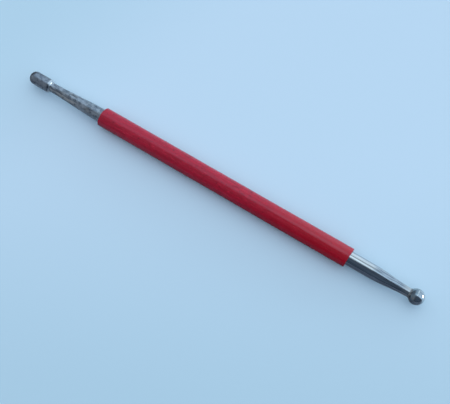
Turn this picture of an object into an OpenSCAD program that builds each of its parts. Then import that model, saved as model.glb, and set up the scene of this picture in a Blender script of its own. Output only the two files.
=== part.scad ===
// Double-ended embossing stylus, lying on its grip sleeve.
// A steel rod runs through a red plastic sleeve. Both ends of the rod taper to a neck:
// one neck carries a polished ball, the other a round-nosed cylindrical head.
// Frame: +X runs along the tool from the head to the ball, +Z is up, and the origin is on
// the resting surface, under the middle of the tool's whole length. Lengths are in millimetres.

/* [Rod] */
// Diameter of the rod, from one taper to the other
rod_d = 5; // [4:0.1:6]
// Share of the S-shaped curve in each taper, where 0 is a plain cone
taper_ease = 0.5; // [0:0.05:1]

/* [Ball end] */
// Diameter of the ball
ball_d = 5.5; // [4.6:0.1:8]
// Diameter of the neck where it meets the ball
ball_neck_d = 3.2; // [2.6:0.05:3.6]
// Length of the taper down to the ball's neck
ball_taper_l = 14.3; // [8:0.1:24]
// Length of straight rod that shows between the sleeve and that taper
ball_bare_l = 8.3; // [1:0.1:20]
// Diameter of the spigot inside the ball
ball_spigot_d = 1.6; // [1:0.1:2.2]
// Length of the spigot inside the ball
ball_spigot_l = 2.4; // [1.2:0.1:3]
// Radius of the braze fillet round the ball's neck
ball_fillet_r = 1; // [0.5:0.1:1.5]

/* [Head end] */
// Diameter of the head
head_d = 4.8; // [4.6:0.1:7]
// Length of the head, from its nose to its back face
head_l = 8.9; // [8:0.1:16]
// Diameter of the small flat left on the tip of the nose
head_flat_d = 0.5; // [0.1:0.1:2.5]
// Radial height of the bevel at the back of the head
head_bevel_h = 0.4; // [0.2:0.05:0.45]
// Length of that bevel along the tool
head_bevel_l = 1; // [0.2:0.05:1.5]
// Diameter of the neck where it meets the head
head_neck_d = 3.35; // [2.6:0.05:3.6]
// Length of the taper down to the head's neck
head_taper_l = 20.8; // [10:0.1:30]
// Length of straight rod that shows between the sleeve and that taper
head_bare_l = 1.6; // [0.5:0.1:20]
// Diameter of the spigot inside the head
head_spigot_d = 1.8; // [1:0.1:2.2]
// Length of the spigot inside the head
head_spigot_l = 4; // [2:0.1:5]
// Width of the braze fillet on the back of the head
head_fillet_w = 0.25; // [0.1:0.05:0.25]
// Length of the braze fillet along the neck
head_fillet_l = 0.6; // [0.3:0.05:1]

/* [Sleeve] */
// Length of the sleeve, along its axis
sleeve_l = 98; // [60:0.5:130]
// Wall thickness of the sleeve
sleeve_wall = 1; // [0.5:0.05:2]
// Angle by which the ball end of the sleeve is cut out of square
sleeve_cut_angle = 3; // [0:0.5:8]

/* [Fits] */
// Radial gap between the rod and the sleeve, which grips it
sleeve_clearance = 0; // [0:0.01:0.1]
// Radial clearance of each spigot in its socket
socket_clearance = 0.03; // [0.01:0.01:0.08]
// Gap left past the end of each spigot, for spare braze
socket_end_gap = 0.2; // [0.1:0.05:0.4]
// Chamfer on the end of each spigot
spigot_chamfer = 0.15; // [0.05:0.05:0.3]

/* [Hidden] */
$fn = 96;

// Straight steps that draw one taper or one fillet
curve_steps = 24;
// How far a cutting body reaches past what it cuts
cut_past = 1;
// How far a fillet's outline is sunk into the two faces that it joins, before they are cut from it
fillet_sink = 0.3;

rod_r = rod_d / 2;
ball_r = ball_d / 2;
ball_neck_r = ball_neck_d / 2;
head_r = head_d / 2;
head_flat_r = head_flat_d / 2;
head_nose_r = head_r - head_flat_r;
head_neck_r = head_neck_d / 2;
sleeve_bore_r = rod_r + sleeve_clearance;
sleeve_r = sleeve_bore_r + sleeve_wall;

// From the ball's centre back to the flat that seats on its neck
ball_seat_back = sqrt(pow(ball_r, 2) - pow(ball_neck_r, 2));

// Stations along the tool, first from the head's nose and then from the middle of the whole length
overall_l = head_l + head_taper_l + head_bare_l + sleeve_l + ball_bare_l + ball_taper_l
    + ball_seat_back + ball_r;
nose_x = -overall_l / 2;
head_seat_x = nose_x + head_l;
head_taper_x = head_seat_x + head_taper_l;
sleeve_head_x = head_taper_x + head_bare_l;
sleeve_ball_x = sleeve_head_x + sleeve_l;
ball_taper_x = sleeve_ball_x + ball_bare_l;
ball_seat_x = ball_taper_x + ball_taper_l;
ball_x = ball_seat_x + ball_seat_back;

// Radius a share t of the way along a taper, from 0 at its wide end to 1 at its neck
function taper_r(wide, narrow, t) =
    let (eased = (1 - taper_ease) * t + taper_ease * (1 - cos(180 * t)) / 2)
    wide + (narrow - wide) * eased;

// Turns and lifts what is drawn about Z, so that its Z becomes the tool's own axis
module along_tool() {
    translate([0, 0, sleeve_r]) rotate([0, 90, 0]) children();
}

// A solid of revolution along the tool. Its outline's points are [radius, place along the tool]
module turned(outline) {
    along_tool() rotate_extrude() polygon(outline);
}

// The rod's outline, from the tip of the head's spigot to the tip of the ball's
function rod_outline() = concat(
    [
        [0, head_seat_x - head_spigot_l],
        [head_spigot_d / 2 - spigot_chamfer, head_seat_x - head_spigot_l],
        [head_spigot_d / 2, head_seat_x - head_spigot_l + spigot_chamfer],
        [head_spigot_d / 2, head_seat_x]
    ],
    [
        for (i = [curve_steps:-1:0])
            [taper_r(rod_r, head_neck_r, i / curve_steps), head_taper_x - head_taper_l * i / curve_steps]
    ],
    [
        for (i = [0:curve_steps])
            [taper_r(rod_r, ball_neck_r, i / curve_steps), ball_taper_x + ball_taper_l * i / curve_steps]
    ],
    [
        [ball_spigot_d / 2, ball_seat_x],
        [ball_spigot_d / 2, ball_seat_x + ball_spigot_l - spigot_chamfer],
        [ball_spigot_d / 2 - spigot_chamfer, ball_seat_x + ball_spigot_l],
        [0, ball_seat_x + ball_spigot_l]
    ]
);

// Turned steel rod with its two tapered necks and the spigots that the tips sit on
module core_rod() {
    color("lightslategray") turned(rod_outline());
}

// The ball before its seat and socket are cut
module ball_blank() {
    along_tool() translate([0, 0, ball_x]) sphere(r = ball_r);
}

// Polished steel ball, faced flat where it seats on the neck and bored for the spigot
module ball_tip() {
    color("silver")
        difference() {
            ball_blank();
            along_tool()
                translate([0, 0, ball_seat_x - ball_r])
                    cylinder(r = ball_r, h = ball_r);
            along_tool()
                translate([0, 0, ball_seat_x - cut_past])
                    cylinder(
                        r = ball_spigot_d / 2 + socket_clearance,
                        h = cut_past + ball_spigot_l + socket_end_gap
                    );
        }
}

// Ring of braze between the neck and the ball: a concave arc that touches both
module ball_braze() {
    arc_r = ball_neck_r + ball_fillet_r;
    arc_back = sqrt(pow(ball_r + ball_fillet_r, 2) - pow(arc_r, 2));
    arc_x = ball_x - arc_back;
    arc_end = atan2(arc_back, arc_r);
    color("darkgray")
        difference() {
            turned(concat(
                [[ball_neck_r - fillet_sink, arc_x]],
                [
                    for (i = [0:curve_steps])
                        let (a = 180 - arc_end * i / curve_steps)
                        [arc_r + ball_fillet_r * cos(a), arc_x + ball_fillet_r * sin(a)]
                ],
                [[ball_neck_r - fillet_sink, arc_x + ball_fillet_r * sin(arc_end)]]
            ));
            ball_blank();
            core_rod();
        }
}

// Half of the head's lengthwise section: its nose is a small flat and a round corner
module head_section() {
    polygon([
        [0, nose_x],
        [head_flat_r, nose_x],
        [head_flat_r, nose_x + head_nose_r],
        [head_r, nose_x + head_nose_r],
        [head_r, head_seat_x - head_bevel_l],
        [head_r - head_bevel_h, head_seat_x],
        [0, head_seat_x]
    ]);
    intersection() {
        translate([head_flat_r, nose_x + head_nose_r]) circle(r = head_nose_r);
        translate([0, nose_x]) square([head_r, head_nose_r]);
    }
}

// Round-nosed steel head, bevelled at its back and bored for the spigot
module round_nose_head() {
    color("slategray")
        difference() {
            along_tool() rotate_extrude() head_section();
            along_tool()
                translate([0, 0, head_seat_x - head_spigot_l - socket_end_gap])
                    cylinder(
                        r = head_spigot_d / 2 + socket_clearance,
                        h = head_spigot_l + socket_end_gap + cut_past
                    );
        }
}

// Ring of braze between the neck and the back face of the head: a quarter of a hollow ellipse
module head_braze() {
    fillet_w = min(head_fillet_w, head_r - head_bevel_h - head_neck_r);
    color("darkgray")
        difference() {
            turned(concat(
                [[head_neck_r - fillet_sink, head_seat_x]],
                [
                    for (i = [0:curve_steps])
                        let (a = 90 * i / curve_steps)
                        [
                            head_neck_r + fillet_w * (1 - sin(a)),
                            head_seat_x + head_fillet_l * (1 - cos(a))
                        ]
                ],
                [[head_neck_r - fillet_sink, head_seat_x + head_fillet_l]]
            ));
            core_rod();
        }
}

// Red plastic tube, stretched over the rod. Its head end is cut square and its ball end a little askew
module grip_sleeve() {
    slant_reach = sleeve_r * tan(sleeve_cut_angle);
    color("crimson")
        difference() {
            turned([
                [sleeve_bore_r, sleeve_head_x],
                [sleeve_r, sleeve_head_x],
                [sleeve_r, sleeve_ball_x + slant_reach + cut_past],
                [sleeve_bore_r, sleeve_ball_x + slant_reach + cut_past]
            ]);
            translate([sleeve_ball_x, 0, sleeve_r])
                rotate([0, 0, -sleeve_cut_angle])
                    translate([0, -2 * sleeve_r, -2 * sleeve_r])
                        cube([2 * (slant_reach + cut_past), 4 * sleeve_r, 4 * sleeve_r]);
        }
}

core_rod();
ball_tip();
ball_braze();
round_nose_head();
head_braze();
grip_sleeve();
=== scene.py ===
# Looks of a double-ended embossing stylus that lies on a pale blue table, seen from above.
import math

import bpy
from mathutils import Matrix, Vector, noise


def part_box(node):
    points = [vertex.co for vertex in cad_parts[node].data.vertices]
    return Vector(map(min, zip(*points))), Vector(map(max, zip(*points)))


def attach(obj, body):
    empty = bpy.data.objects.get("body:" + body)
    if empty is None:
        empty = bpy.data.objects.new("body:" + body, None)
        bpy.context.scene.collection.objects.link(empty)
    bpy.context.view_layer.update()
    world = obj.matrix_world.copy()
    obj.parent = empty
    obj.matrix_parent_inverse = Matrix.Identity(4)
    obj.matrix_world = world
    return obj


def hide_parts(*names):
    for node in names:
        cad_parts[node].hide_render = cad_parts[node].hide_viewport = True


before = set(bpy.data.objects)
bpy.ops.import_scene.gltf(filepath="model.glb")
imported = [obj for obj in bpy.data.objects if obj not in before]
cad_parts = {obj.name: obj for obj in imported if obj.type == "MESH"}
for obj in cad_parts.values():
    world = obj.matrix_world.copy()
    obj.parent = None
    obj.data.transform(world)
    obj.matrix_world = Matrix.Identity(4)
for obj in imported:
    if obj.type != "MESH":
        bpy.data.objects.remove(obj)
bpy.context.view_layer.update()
scene = bpy.context.scene

MM = 0.001
X, Y, Z = (1, 0, 0), (0, 1, 0), (0, 0, 1)


# Sizes and stations along the tool, in millimetres, read from the frame's solids
def ends(node):
    low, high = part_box(node)
    return low.x / MM, high.x / MM


def radius(node):
    return AXIS_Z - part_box(node)[0].z / MM


AXIS_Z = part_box("grip_sleeve")[1].z / MM / 2
SLEEVE_R, ROD_R = radius("grip_sleeve"), radius("core_rod")
HEAD_R, BALL_R = radius("round_nose_head"), radius("ball_tip")
NOSE_X, HEAD_SEAT_X = ends("round_nose_head")
BALL_SEAT_X, BALL_END_X = ends("ball_tip")
BALL_X = BALL_END_X - BALL_R

# Slope of the sleeve's slanted cut at the ball end, and the sleeve's two ends on its axis
CUT_SLOPE = math.tan(math.radians(3))
SLEEVE_X0 = ends("grip_sleeve")[0]
SLEEVE_X1 = ends("grip_sleeve")[1] - SLEEVE_R * CUT_SLOPE

# The necks' radii and where the tapers start, which the solids' boxes don't give
HEAD_NECK_R, BALL_NECK_R = 3.35 / 2, 3.2 / 2
HEAD_TAPER_X = HEAD_SEAT_X + 20.8
BALL_TAPER_X = BALL_SEAT_X - 14.3


# Camera, at the photo's angle
CAMERA_PLACE, CAMERA_AIM = (0.05505, -0.0842, 0.2557), (0.00525, -0.0036, 0.0)


def aimed(obj, place, aim):
    scene.collection.objects.link(obj)
    obj.location = place
    obj.rotation_euler = (Vector(aim) - Vector(place)).to_track_quat("-Z", "Y").to_euler()
    return obj


camera = bpy.data.objects.new("camera", bpy.data.cameras.new("camera"))
scene.camera = aimed(camera, CAMERA_PLACE, CAMERA_AIM)
camera.data.sensor_width = 36
camera.data.lens = 63.8
camera.data.clip_start = 0.01


# Node helpers
def tree_of(owner):
    owner.use_nodes = True
    owner.node_tree.nodes.clear()
    return owner.node_tree


def give(tree, socket, value):
    if isinstance(value, bpy.types.NodeSocket):
        tree.links.new(value, socket)
    elif isinstance(value, tuple) and len(value) == 3 and socket.type == "RGBA":
        socket.default_value = (*value, 1)
    else:
        socket.default_value = value


def add(tree, kind, inputs=None, **settings):
    node = tree.nodes.new(kind)
    for key, value in settings.items():
        setattr(node, key, value)
    for key, value in (inputs or {}).items():
        give(tree, node.inputs[key], value)
    return node


def maths(tree, operation, *values):
    return add(tree, "ShaderNodeMath", dict(enumerate(values)), operation=operation).outputs[0]


def product(tree, first, *others):
    for other in others:
        first = maths(tree, "MULTIPLY", first, other)
    return first


def total(tree, first, *others):
    for other in others:
        first = maths(tree, "ADD", first, other)
    return first


def ramp(tree, value, low, high, to_low=0.0, to_high=1.0):
    """Eased from to_low to to_high while value goes from low to high, where low may be the larger."""
    limits = {"Value": value, "From Min": low, "From Max": high, "To Min": to_low, "To Max": to_high}
    return add(tree, "ShaderNodeMapRange", limits, interpolation_type="SMOOTHSTEP").outputs["Result"]


def along(tree, vector, axis, low, high):
    """Eased from 0 to 1 while the vector's reach along the axis goes from low to high."""
    dot = add(tree, "ShaderNodeVectorMath", {0: vector, 1: axis}, operation="DOT_PRODUCT")
    return ramp(tree, dot.outputs["Value"], low, high)


def mixed(tree, share, low, high):
    """The colour low where share is 0 and high where it is 1. A node's number is mixed as a grey."""
    node = add(tree, "ShaderNodeMix", {0: share}, data_type="RGBA")
    first_colour, second_colour, mixed_colour = node.inputs[6], node.inputs[7], node.outputs[2]
    give(tree, first_colour, low)
    give(tree, second_colour, high)
    return mixed_colour


def scaled(tree, colour, share):
    return add(tree, "ShaderNodeVectorMath", {0: colour, "Scale": share}, operation="SCALE").outputs[0]


def grain(tree, place, size_mm, detail=2.0, rough=0.5, shift=(0, 0, 0)):
    """Noise from 0 to 1, whose blotches are size_mm long in each direction."""
    scale = tuple(1 / (size * MM) for size in size_mm)
    spot = add(tree, "ShaderNodeMapping", {"Vector": place, "Location": shift, "Scale": scale},
               vector_type="POINT").outputs[0]
    look = {"Vector": spot, "Scale": 1.0, "Detail": detail, "Roughness": rough}
    return add(tree, "ShaderNodeTexNoise", look).outputs["Fac"]


def x_mm(tree, place):
    return product(tree, add(tree, "ShaderNodeSeparateXYZ", {"Vector": place}).outputs[0], 1 / MM)


def along_tool(tree, place, start, end):
    """Eased from 0 at start to 1 at end, two places along the tool in millimetres."""
    return ramp(tree, x_mm(tree, place), start, end)


def degrees_round(tree, place):
    """Degrees round the tool's axis, from 0 towards +Y over 90 at the top."""
    parts = add(tree, "ShaderNodeSeparateXYZ", {"Vector": place}).outputs
    height = maths(tree, "SUBTRACT", parts[2], AXIS_Z * MM)
    return product(tree, maths(tree, "ARCTAN2", height, parts[1]), 180 / math.pi)


def stripe(tree, value, middle, half):
    """1 where value is close to middle, fading to 0 at half to either side."""
    off = maths(tree, "ABSOLUTE", maths(tree, "SUBTRACT", value, middle))
    return ramp(tree, off, half, half * 0.25)


def in_reflection(tree):
    """1 for what a reflection shows, but not for light that metal throws on to the table."""
    path = add(tree, "ShaderNodeLightPath").outputs
    return product(tree, path["Is Glossy Ray"], maths(tree, "LESS_THAN", path["Diffuse Depth"], 0.5))


# World
LIGHT_BEHIND_CAMERA = (0.05, 0.06, 0.08)
SHOWN_TO_CAMERA = (0.45, 0.67, 0.86)
# Steps by which the falling light grows towards the far side: the angle, how soft it is, and the colour
LIGHT_STEPS = [
    (141, 0.2, (0.95, 0.92, 0.98)),
    (110, 0.2, (1.17, 1.14, 1.18)),
    (68, 0.15, (1.23, 1.25, 1.26)),
    (19, 0.1, (2.35, 2.42, 2.46)),
]


def sky_side(tree, way, angle, soft):
    """1 below an angle round the tool, and 0 above it.

    The angle is in degrees, from 0 on the horizon towards +Y over 90 overhead. With 180 added to it,
    the two sides change places.
    """
    turn = math.radians(angle)
    return along(tree, way, (0, math.sin(turn), -math.cos(turn)), -soft, soft)


def falling_light(tree, way):
    """Light that falls on the table and the tool: weak behind the camera, strongest on the far side."""
    light = LIGHT_BEHIND_CAMERA
    for angle, soft, colour in LIGHT_STEPS:
        light = mixed(tree, sky_side(tree, way, angle, soft), light, colour)
    return light


def mirrored_sky(tree, way):
    """What reflections show overhead and on the far side, with a bright band that has a grey bar."""
    head_side, ball_side = (0.10, 0.14, 0.19), (0.42, 0.6, 0.8)
    bright_band, grey_bar = (1.08, 1.36, 1.56), (0.6, 0.74, 0.86)
    sky = mixed(tree, along(tree, way, X, -0.72, -0.36), head_side, ball_side)
    sky = mixed(tree, sky_side(tree, way, 60, 0.1), scaled(tree, sky, 1.25), sky)
    band = product(tree, along(tree, way, X, -0.16, 0.0), along(tree, way, X, 0.11, 0.01))
    bar = product(tree, sky_side(tree, way, 62, 0.1), sky_side(tree, way, 42 + 180, 0.1))
    sky = mixed(tree, band, sky, bright_band)
    return mixed(tree, product(tree, bar, band), sky, grey_bar)


def mirrored_room(tree, way):
    """What reflections show behind the camera: a dim room, lighter towards the head's end."""
    low, high, head_side = (0.034, 0.055, 0.09), (0.052, 0.082, 0.125), (0.205, 0.26, 0.325)
    room = mixed(tree, along(tree, way, Z, 0.02, 0.4), low, high)
    return mixed(tree, along(tree, way, X, -0.5, -0.05), head_side, room)


def studio_world():
    world = bpy.data.worlds.new("studio")
    scene.world = world
    t = tree_of(world)
    way = add(t, "ShaderNodeTexCoord").outputs["Generated"]
    shown = mixed(t, sky_side(t, way, 92, 0.05), mirrored_room(t, way), mirrored_sky(t, way))
    colour = mixed(t, in_reflection(t), falling_light(t, way), shown)
    to_camera = add(t, "ShaderNodeLightPath").outputs["Is Camera Ray"]
    colour = mixed(t, to_camera, colour, SHOWN_TO_CAMERA)
    background = add(t, "ShaderNodeBackground", {"Color": colour})
    add(t, "ShaderNodeOutputWorld", {"Surface": background.outputs[0]})


def window_light():
    """A low window far off past the ball, which makes the highlights on the ball and the shoulder."""
    window = bpy.data.lights.new("window", "AREA")
    window.shape = "RECTANGLE"
    window.size, window.size_y = 0.34, 0.14
    window.energy = 2.5
    window.color = (0.82, 0.97, 1.0)
    place, aim = (0.87, 0.5, 0.085), (0, 0, 0)
    aimed(bpy.data.objects.new("window", window), place, aim)


studio_world()
window_light()


# Table
def table_top():
    """Pale blue, lighter towards the far side by painted light. Reflections show it darker on the camera's
    side of the tool and beyond the nose, as painted shade.
    """
    near_tint, far_tint, corner_tint = (0.341, 0.555, 0.709), (0.433, 0.64, 0.82), (0.379, 0.601, 0.767)
    painted_shade_at_head, painted_shade_at_ball, painted_shade_past_nose = (0.19, 0.27, 0.35), (0.09, 0.13, 0.19), (0.07, 0.09, 0.12)
    to_far_edge, to_corner = (-0.41, 0.91, 0), (-0.97, 0.23, 0)
    mat, t, place = new_material("table_top")
    # Painted light: the tint is lighter towards the far side, and a little darker again far out beyond the
    # head's end
    tint = mixed(t, along(t, place, to_far_edge, -100 * MM, 20 * MM), near_tint, far_tint)
    tint = mixed(t, along(t, place, to_corner, 40 * MM, 105 * MM), tint, corner_tint)
    mirrored = in_reflection(t)
    # Painted shade: what reflections show of the table is darker on the camera's side of the tool and past
    # the nose
    camera_side = along(t, place, Y, 1 * MM, -5 * MM)
    painted_shade = mixed(t, along_tool(t, place, -60, 30), painted_shade_at_head, painted_shade_at_ball)
    tint = mixed(t, product(t, camera_side, mirrored), tint, painted_shade)
    past_nose = along_tool(t, place, -78.5, -84)
    tint = mixed(t, product(t, past_nose, mirrored), tint, painted_shade_past_nose)
    inputs = {"Base Color": tint, "Roughness": 0.5, "Specular IOR Level": 0.4}
    shader = add(t, "ShaderNodeBsdfPrincipled", inputs)
    add(t, "ShaderNodeOutputMaterial", {"Surface": shader.outputs[0]})
    return mat


def table(reach=3.0):
    corners = [(-reach, -reach, 0), (reach, -reach, 0), (reach, reach, 0), (-reach, reach, 0)]
    mesh = bpy.data.meshes.new("table")
    mesh.from_pydata(corners, [], [(0, 1, 2, 3)])
    mesh.materials.append(table_top())
    obj = bpy.data.objects.new("table", mesh)
    scene.collection.objects.link(obj)


# Turned meshes. An outline's points are (place along the tool, radius), in millimetres.
def wave(x, angle, r, length, seed):
    """Smooth noise from -1 to 1 over a turned surface, in bumps about as long as length."""
    across, up = r * math.cos(angle), r * math.sin(angle)
    return noise.noise(Vector((x / length + seed, across / length, up / length)))


def clamped(share):
    return max(0.0, min(1.0, share))


def finer(points, step):
    """The outline with each straight stretch cut to pieces no longer than step."""
    made = [points[0]]
    for (x0, r0), (x1, r1) in zip(points, points[1:]):
        count = max(1, math.ceil(math.hypot(x1 - x0, r1 - r0) / step))
        made += [(x0 + (x1 - x0) * i / count, r0 + (r1 - r0) * i / count) for i in range(1, count + 1)]
    return made


def arc(middle_x, middle_r, size, start, end, count):
    """Points on a circle of radius size, where 0 degrees points along +X and 90 away from the axis."""
    turns = [math.radians(start + (end - start) * i / count) for i in range(count + 1)]
    return [(middle_x + size * math.cos(turn), middle_r + size * math.sin(turn)) for turn in turns]


def turned(name, outline, around, material, shape, ring=False):
    """A solid of revolution about the tool's axis. The outline runs from axis to axis, or round a ring.

    The function shape(x, r, angle) gives each point its final place and radius.
    """
    verts, rows, faces = [], [], []
    for x, r in outline:
        if r == 0:
            rows.append([len(verts)])
            verts.append((x * MM, 0, AXIS_Z * MM))
            continue
        rows.append(range(len(verts), len(verts) + around))
        for j in range(around):
            a = 2 * math.pi * j / around
            px, pr = shape(x, r, a)
            verts.append((px * MM, pr * math.cos(a) * MM, (AXIS_Z + pr * math.sin(a)) * MM))
    pairs = list(zip(rows, rows[1:])) + ([(rows[-1], rows[0])] if ring else [])
    for low, high in pairs:
        for j in range(around):
            k = (j + 1) % around
            if len(low) == 1:
                faces.append((low[0], high[k], high[j]))
            elif len(high) == 1:
                faces.append((low[j], low[k], high[0]))
            else:
                faces.append((low[j], low[k], high[k], high[j]))
    mesh = bpy.data.meshes.new(name)
    mesh.from_pydata(verts, [], faces)
    mesh.validate()
    mesh.shade_smooth()
    mesh.set_sharp_from_angle(angle=math.radians(40))
    mesh.materials.append(material)
    obj = bpy.data.objects.new(name, mesh)
    scene.collection.objects.link(obj)
    return obj


def stands_for(obj, node):
    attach(obj, "root")
    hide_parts(node)


# Materials
def new_material(name):
    """A material, its node tree, and the place on the object in metres."""
    mat = bpy.data.materials.new(name)
    tree = tree_of(mat)
    return mat, tree, add(tree, "ShaderNodeTexCoord").outputs["Object"]


def finish_material(tree, inputs, height, depth_mm):
    """The shader, with a height of depth_mm as its relief."""
    relief = add(tree, "ShaderNodeBump", {"Height": height, "Strength": 1.0, "Distance": depth_mm * MM})
    shader = add(tree, "ShaderNodeBsdfPrincipled", {**inputs, "Normal": relief.outputs[0]})
    add(tree, "ShaderNodeOutputMaterial", {"Surface": shader.outputs[0]})


def finish_metal(tree, colour, rough, height, depth_mm):
    finish_material(tree, {"Base Color": colour, "Metallic": 1.0, "Roughness": rough}, height, depth_mm)


def red_plastic():
    """Semi-gloss red, with lengthwise streaks, cloudy patches, small scuffs and a few dark specks."""
    deep, bright, cloudy = (0.262, 0.002, 0.015), (0.372, 0.005, 0.028), (0.24, 0.003, 0.017)
    scuffed, speckled, at_ball = (0.45, 0.004, 0.032), (0.13, 0.001, 0.012), (0.315, 0.0, 0.004)
    mat, t, place = new_material("red_plastic")
    streaks = grain(t, place, (14, 0.35, 0.35), 3, 0.6)
    clouds = grain(t, place, (3.6, 1.4, 1.4), 3, 0.65, (3, 1, 7))
    scuffs = ramp(t, grain(t, place, (2.0, 0.34, 0.34), 2, 0.6, (11, 5, 2)), 0.54, 0.68)
    specks = ramp(t, grain(t, place, (0.9, 0.6, 0.6), 2, 0.5, (4, 8, 1)), 0.61, 0.72)
    peel = grain(t, place, (0.5, 0.5, 0.5), 2, 0.5, (1, 9, 4))
    colour = mixed(t, ramp(t, streaks, 0.3, 0.7), deep, bright)
    colour = mixed(t, ramp(t, clouds, 0.38, 0.68, 0.0, 0.7), colour, cloudy)
    colour = mixed(t, product(t, scuffs, ramp(t, clouds, 0.3, 0.6, 0.4, 0.9)), colour, scuffed)
    colour = mixed(t, product(t, specks, 0.7), colour, speckled)
    colour = mixed(t, product(t, along_tool(t, place, 0, 45), 0.55), colour, at_ball)
    rough = total(t, ramp(t, streaks, 0.2, 0.8, 0.15, 0.25), ramp(t, scuffs, 0, 1, 0, 0.05))
    height = total(t, product(t, streaks, 0.8), product(t, peel, 0.7), product(t, scuffs, -0.15),
                   product(t, clouds, 4.0))
    inputs = {"Base Color": colour, "Roughness": rough, "IOR": 1.6, "Specular Tint": (0.8, 0.86, 1.0)}
    finish_material(t, inputs, height, 0.008)
    return mat


def rod_steel():
    """Finely lined on the ball's side, and dull and mottled, with pale and dark lengthwise stripes at fixed
    angles, on the head's.
    """
    line_dark, line_bright, neck_bright = (0.40, 0.415, 0.43), (0.68, 0.69, 0.70), (0.74, 0.69, 0.645)
    dull_dark, dull_bright, stained = (0.285, 0.31, 0.34), (0.60, 0.625, 0.65), (0.33, 0.28, 0.23)
    pale_stripe, dark_stripe = (0.80, 0.73, 0.66), (0.14, 0.14, 0.15)
    mat, t, place = new_material("rod_steel")
    head_side = along_tool(t, place, 20, -20)
    lines = grain(t, place, (22, 0.42, 0.42), 4, 0.62)
    mottle = grain(t, place, (1.6, 0.9, 0.9), 4, 0.6, (5, 2, 8))
    stains = product(t, ramp(t, grain(t, place, (4, 1.2, 1.2), 3, 0.6, (2, 7, 3)), 0.5, 0.68), head_side)
    bright = mixed(t, ramp(t, lines, 0.36, 0.64), line_dark, line_bright)
    bright = mixed(t, along_tool(t, place, 69.5, 72), bright, neck_bright)
    dull = mixed(t, ramp(t, mottle, 0.38, 0.62), dull_dark, dull_bright)
    colour = mixed(t, head_side, bright, dull)
    colour = mixed(t, product(t, stains, 0.45), colour, stained)
    sway = ramp(t, grain(t, place, (5, 1.5, 1.5), 2, 0.5, (7, 7, 2)), 0.3, 0.7, -5, 5)
    angle = total(t, degrees_round(t, place), sway)
    # Pale and dark lengthwise stripes at fixed angles round the neck on the head's side
    striped_part = product(t, along_tool(t, place, -55, -61),
                     ramp(t, grain(t, place, (3, 0.8, 0.8), 3, 0.6, (1, 4, 6)), 0.3, 0.6, 0.45, 1.0))
    colour = mixed(t, product(t, striped_part, stripe(t, angle, 140, 15)), colour, pale_stripe)
    dark_lines = total(t, stripe(t, angle, 118, 8), stripe(t, angle, 162, 8))
    colour = mixed(t, product(t, striped_part, dark_lines, 0.75), colour, dark_stripe)
    rough = mixed(t, head_side, ramp(t, lines, 0.3, 0.7, 0.08, 0.17), ramp(t, mottle, 0.3, 0.7, 0.26, 0.42))
    height = mixed(t, head_side, lines, total(t, product(t, mottle, 0.9), product(t, lines, 0.5)))
    finish_metal(t, colour, rough, height, 0.008)
    return mat


def head_steel():
    """Mottled, pitted steel, worn bright round its back and with a painted highlight there, and a painted
    dark reflection line on the camera's side.
    """
    dark, light, pitted = (0.30, 0.32, 0.355), (0.50, 0.52, 0.555), (0.30, 0.27, 0.25)
    worn_highlight_colour, dark_reflection_colour, worn_rough = (0.78, 0.79, 0.80), (0.10, 0.11, 0.13), (0.29, 0.29, 0.29)
    mat, t, place = new_material("head_steel")
    mottle = grain(t, place, (1.4, 1.0, 1.0), 4, 0.6, (4, 4, 1))
    pits = ramp(t, grain(t, place, (0.45, 0.45, 0.45), 3, 0.6, (8, 3, 6)), 0.56, 0.7)
    colour = mixed(t, ramp(t, mottle, 0.35, 0.65), dark, light)
    colour = mixed(t, product(t, pits, 0.5), colour, pitted)
    # The bright back, worn and partly a painted highlight, starts 0.9 mm further towards the neck on the
    # camera's side
    camera_side = ramp(t, degrees_round(t, place), 100, 118)
    edge = total(t, x_mm(t, place), product(t, camera_side, -0.9))
    # Wear and a painted highlight: brighter round the back of the head, on the shoulder
    worn_and_highlight = product(t, ramp(t, edge, HEAD_SEAT_X - 1.357, HEAD_SEAT_X - 0.857),
                   ramp(t, mottle, 0.3, 0.5, 0.6, 1.0))
    colour = mixed(t, worn_and_highlight, colour, worn_highlight_colour)
    # Painted shade: a dark reflection line on the camera's side, at the start of the bright back
    dark_reflection_line = product(t, stripe(t, edge, HEAD_SEAT_X - 1.307, 0.25), camera_side)
    colour = mixed(t, product(t, dark_reflection_line, 0.7), colour, dark_reflection_colour)
    rough = mixed(t, worn_and_highlight, ramp(t, mottle, 0.3, 0.7, 0.26, 0.4), worn_rough)
    height = total(t, product(t, mottle, 0.9), product(t, pits, -0.25))
    finish_metal(t, colour, rough, height, 0.010)
    return mat


def ball_steel():
    """Polished steel, a little smeared, darker towards the neck and with brown spots near it."""
    smeared, clean = (0.54, 0.57, 0.585), (0.70, 0.71, 0.71)
    near_neck_dark, brown = (0.26, 0.325, 0.35), (0.42, 0.29, 0.22)
    mat, t, place = new_material("ball_steel")
    smear = grain(t, place, (1.1, 0.7, 0.7), 3, 0.55, (6, 1, 2))
    spots = ramp(t, grain(t, place, (0.8, 0.8, 0.8), 2, 0.5, (2, 5, 9)), 0.48, 0.6)
    near_neck = along_tool(t, place, BALL_X + 0.907, BALL_X - 1.293)
    camera_side = ramp(t, degrees_round(t, place), 108, 122)
    colour = mixed(t, ramp(t, smear, 0.35, 0.7), smeared, clean)
    # Darker towards the neck
    colour = mixed(t, product(t, near_neck, 0.75), colour, near_neck_dark)
    colour = mixed(t, product(t, near_neck, spots, camera_side, 0.75), colour, brown)
    finish_metal(t, colour, ramp(t, smear, 0.3, 0.7, 0.11, 0.19), smear, 0.004)
    return mat


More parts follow.
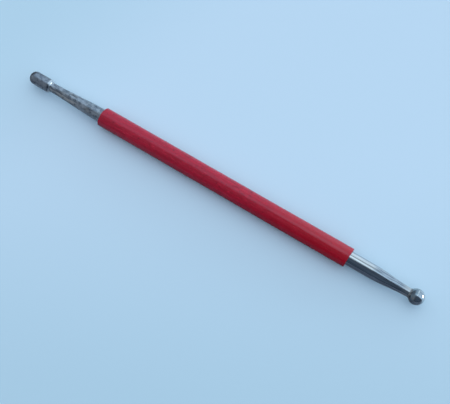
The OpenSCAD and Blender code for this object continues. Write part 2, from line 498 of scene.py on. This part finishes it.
def braze():
    """Lumpy, dark at the ball and bright at the head."""
    ball_dark, ball_light = (0.16, 0.155, 0.15), (0.46, 0.455, 0.44)
    head_dark, head_light = (0.42, 0.43, 0.44), (0.74, 0.745, 0.74)
    mat, t, place = new_material("braze")
    lumps = grain(t, place, (0.5, 0.5, 0.5), 3, 0.6)
    head_side = along_tool(t, place, 0, -10)
    colour = mixed(t, ramp(t, lumps, 0.35, 0.65), mixed(t, head_side, ball_dark, head_dark),
                   mixed(t, head_side, ball_light, head_light))
    finish_metal(t, colour, ramp(t, lumps, 0.3, 0.7, 0.22, 0.42), lumps, 0.02)
    return mat


# Pieces
def eased(share):
    """The head's taper, which starts and ends gently, as the solid's does."""
    return 0.5 * share + 0.25 * (1 - math.cos(math.pi * share))


def polished(share):
    """The ball's taper, which starts gently and runs into the neck without a bend."""
    return share * (0.2 + 2.6 * share - 1.8 * share**2)


def taper(wide_x, neck_x, neck_r, curve, count):
    """Outline of a taper, from the rod's full width to the neck."""
    shares = [i / count for i in range(count + 1)]
    return [(wide_x + (neck_x - wide_x) * share, ROD_R + (neck_r - ROD_R) * curve(share))
            for share in shares]


def shoulder(start_r, end_r, middle_x, drop, tilt, count):
    """Outline from start_r down to end_r: round over by drop to middle_x, and hollow from there.

    At middle_x it falls at the angle tilt, in degrees.
    """
    steep, flat = math.sin(math.radians(tilt)), math.cos(math.radians(tilt))
    over, hollow = drop / (1 - flat), (start_r - drop - end_r) / (1 - flat)
    turns = [math.radians(tilt * i / count) for i in range(count + 1)]
    rounded = [(middle_x - over * (steep - math.sin(a)), start_r - over * (1 - math.cos(a))) for a in turns]
    hollowed = [(middle_x + hollow * (steep - math.sin(a)), end_r + hollow * (1 - math.cos(a)))
                for a in reversed(turns[:-1])]
    return rounded + hollowed


def make_sleeve(material):
    rim, chamfer, slanted_l, bend_l, ragged_l = 0.16, 0.05, 4.0, 3.9, 0.5
    waviness, head_end_slant, raggedness = 0.02, 0.15, 0.05
    outline = [(SLEEVE_X0 + chamfer, ROD_R), *arc(SLEEVE_X0 + rim, SLEEVE_R - rim, rim, 180, 90, 5),
               *arc(SLEEVE_X1 - rim, SLEEVE_R - rim, rim, 90, 0, 5), (SLEEVE_X1 - chamfer, ROD_R)]

    def shape(x, r, a):
        outside = clamped((r - ROD_R) / (SLEEVE_R - ROD_R))
        r -= outside * waviness * (1 + wave(x, a, r, length=7, seed=3.1))
        slant = clamped((x - SLEEVE_X1 + slanted_l) / bend_l) * r * math.cos(a) * CUT_SLOPE
        slant += clamped((SLEEVE_X0 + slanted_l - x) / bend_l) * math.cos(a) * head_end_slant
        ragged = clamped(1 - (SLEEVE_X1 - x) / ragged_l) - clamped(1 - (x - SLEEVE_X0) / ragged_l)
        return x + slant + raggedness * ragged * wave(x, a, r, length=1.1, seed=8.4), r

    tube = turned("sleeve_tube", finer(outline, 1.2), 96, material, shape, ring=True)
    stands_for(tube, "grip_sleeve")


def make_rod(material):
    head_spigot_r, ball_spigot_r, spigot_l, hidden_l = 0.9, 0.8, 1.0, 1.0
    head_side_dents, ball_side_dents = 0.03, 0.008
    head_neck = taper(HEAD_TAPER_X, HEAD_SEAT_X, HEAD_NECK_R, eased, 60)
    ball_neck = taper(BALL_TAPER_X, BALL_SEAT_X, BALL_NECK_R, polished, 48)
    outline = [(HEAD_SEAT_X - spigot_l, 0), (HEAD_SEAT_X - spigot_l, head_spigot_r),
               (HEAD_SEAT_X, head_spigot_r), *reversed(head_neck)]
    outline += [(SLEEVE_X0, ROD_R), (SLEEVE_X0 + hidden_l, ROD_R), (SLEEVE_X1 - hidden_l, ROD_R)]
    outline += finer([(SLEEVE_X1 - 0.3, ROD_R), ball_neck[0]], 0.4) + ball_neck[1:]
    outline += [(BALL_SEAT_X, ball_spigot_r), (BALL_SEAT_X + spigot_l, ball_spigot_r),
                (BALL_SEAT_X + spigot_l, 0)]

    def shape(x, r, a):
        if r < 1 or SLEEVE_X0 - 0.2 < x < SLEEVE_X1 + 0.2:
            return x, r
        dents = head_side_dents if x < 0 else ball_side_dents
        return x, r - dents * (0.5 + 0.5 * wave(x, a, r, length=1.7, seed=5.2))

    stands_for(turned("tapered_rod", outline, 96, material, shape), "core_rod")


# The head's back, which ends on the neck. The head takes it as far as its seat, and its bead the rest.
HEAD_SLOPE = shoulder(HEAD_R, HEAD_NECK_R, middle_x=HEAD_SEAT_X - 0.06, drop=0.42, tilt=53, count=12)


def make_head(material):
    flat_r, dents = 0.25, 0.02
    nose_r = HEAD_R - flat_r
    collar_x, collar_h, collar_l = HEAD_SEAT_X - 0.85, 0.025, 0.3
    slope = [point for point in HEAD_SLOPE if point[0] < HEAD_SEAT_X]
    outline = finer([(HEAD_SEAT_X, 0), (HEAD_SEAT_X, slope[-1][1] - 0.02)], 0.25) + slope[::-1]
    outline += finer([(slope[0][0] - 0.1, HEAD_R), (NOSE_X + nose_r, HEAD_R)], 0.35)
    outline += arc(NOSE_X + nose_r, flat_r, nose_r, 90, 180, 18)[1:] + [(NOSE_X, 0)]

    def shape(x, r, a):
        collar = collar_h * math.exp(-((x - collar_x) / collar_l) ** 2)
        return x, r + collar - dents * (0.5 + 0.5 * wave(x, a, r, length=1.2, seed=2.7))

    head = turned("round_head", outline[::-1], 80, material, shape)
    stands_for(head, "round_nose_head")


def make_ball(material):
    seat = math.degrees(math.acos((BALL_SEAT_X - BALL_X) / BALL_R))
    outline = [(BALL_SEAT_X, 0), *arc(BALL_X, 0, BALL_R, seat, 0, 44)[:-1], (BALL_END_X, 0)]
    unevenness = 0.006

    def shape(x, r, a):
        scale = 1 - unevenness * (0.5 + 0.5 * wave(x, a, r, length=1.3, seed=6.6))
        return BALL_X + (x - BALL_X) * scale, r * scale

    stands_for(turned("ball", outline, 88, material, shape), "ball_tip")


def make_bead(name, node, outline, material, lump, seed, drip=0.0):
    """A ring of braze, uneven by lump, with one drop as high as drip."""
    # Place and width of the drop round the tool, in radians
    drip_angle, drip_width = 2.5, 0.28

    def shape(x, r, a):
        drop = drip * math.exp(-((a - drip_angle) / drip_width) ** 2)
        return x, r + lump * wave(x, a, r, 0.9, seed) + drop

    stands_for(turned(name, outline, 72, material, shape, ring=True), node)


def make_ball_bead(material, fillet=1.0, sunk=0.25):
    """A hollow arc that touches the neck and the ball."""
    arc_r = BALL_NECK_R + fillet
    arc_x = BALL_X - math.sqrt((BALL_R + fillet) ** 2 - arc_r**2)
    curve = arc(arc_x, arc_r, fillet, 270, 270 + math.degrees(math.atan2(BALL_X - arc_x, arc_r)), 8)
    end_x, end_r = curve[-1]
    outline = [(arc_x, BALL_NECK_R - sunk), *curve, (end_x + 0.2, end_r - 0.35),
               (end_x, BALL_NECK_R - sunk)]
    make_bead("ball_bead", "ball_braze", outline, material, lump=0.03, seed=4.4, drip=0.16)


def make_head_bead(material, sunk=0.25):
    start_x = HEAD_SEAT_X - 0.05
    curve = [point for point in HEAD_SLOPE if point[0] > HEAD_SEAT_X]
    outline = [(start_x, HEAD_NECK_R - sunk), (start_x, curve[0][1] + 0.01), *curve,
               (curve[-1][0], HEAD_NECK_R - sunk)]
    make_bead("head_bead", "head_braze", outline, material, lump=0.015, seed=7.9)


table()
make_sleeve(red_plastic())
make_rod(rod_steel())
make_head(head_steel())
make_ball(ball_steel())
braze_metal = braze()
make_ball_bead(braze_metal)
make_head_bead(braze_metal)

scene.view_settings.view_transform = "Standard"
